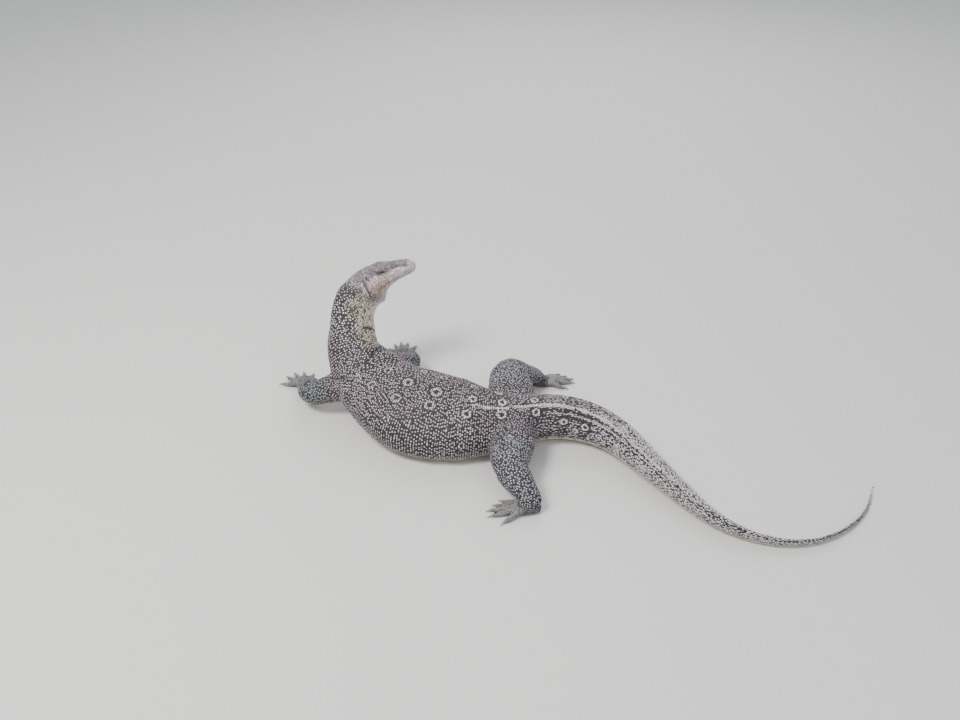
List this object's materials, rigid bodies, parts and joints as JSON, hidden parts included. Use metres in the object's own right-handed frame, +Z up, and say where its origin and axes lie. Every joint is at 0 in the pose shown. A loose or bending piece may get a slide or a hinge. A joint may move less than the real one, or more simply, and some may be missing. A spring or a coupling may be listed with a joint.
{
  "type": "water monitor lizard",
  "caption": "Life-size water monitor lizard lying on a level floor, body curved, head raised and turned to its right, long tapering tail laid out behind it.",
  "frame": {"origin": "the flat of the belly on the floor, under the widest part of the trunk", "axes": "+Z up, +X along the body towards the tail, +Y to the side that the head turns to"},
  "size_m": [1.3456, 0.7618, 0.3071],
  "materials": {
    "skin": "satin scales, dark grey with pale spots",
    "pale_skin": "satin scales, cream grey",
    "foot_skin": "satin scales, slate grey",
    "claw": "horn, semi-gloss",
    "eye": "wet gloss, dark brown"
  },
  "bodies": {
    "root": {"head": "skin", "lower_jaw": "pale_skin", "eye_left": "eye", "eye_right": "eye", "neck": "skin", "chest": "skin", "belly": "skin", "hips": "skin", "tail_root": "skin", "tail_front": "skin", "tail_middle": "skin", "tail_rear": "skin", "tail_tip": "skin", "foreleg_left_upper": "skin", "foreleg_left_lower": "skin", "foreleg_left_foot": "foot_skin", "foreleg_left_claw_1": "claw", "foreleg_left_claw_2": "claw", "foreleg_left_claw_3": "claw", "foreleg_left_claw_4": "claw", "foreleg_left_claw_5": "claw", "foreleg_right_upper": "skin", "foreleg_right_lower": "skin", "foreleg_right_foot": "foot_skin", "foreleg_right_claw_1": "claw", "foreleg_right_claw_2": "claw", "foreleg_right_claw_3": "claw", "foreleg_right_claw_4": "claw", "foreleg_right_claw_5": "claw", "hindleg_left_upper": "skin", "hindleg_left_lower": "skin", "hindleg_left_foot": "foot_skin", "hindleg_left_claw_1": "claw", "hindleg_left_claw_2": "claw", "hindleg_left_claw_3": "claw", "hindleg_left_claw_4": "claw", "hindleg_left_claw_5": "claw", "hindleg_right_upper": "skin", "hindleg_right_lower": "skin", "hindleg_right_foot": "foot_skin", "hindleg_right_claw_1": "claw", "hindleg_right_claw_2": "claw", "hindleg_right_claw_3": "claw", "hindleg_right_claw_4": "claw", "hindleg_right_claw_5": "claw"}
  },
  "joints": []
}
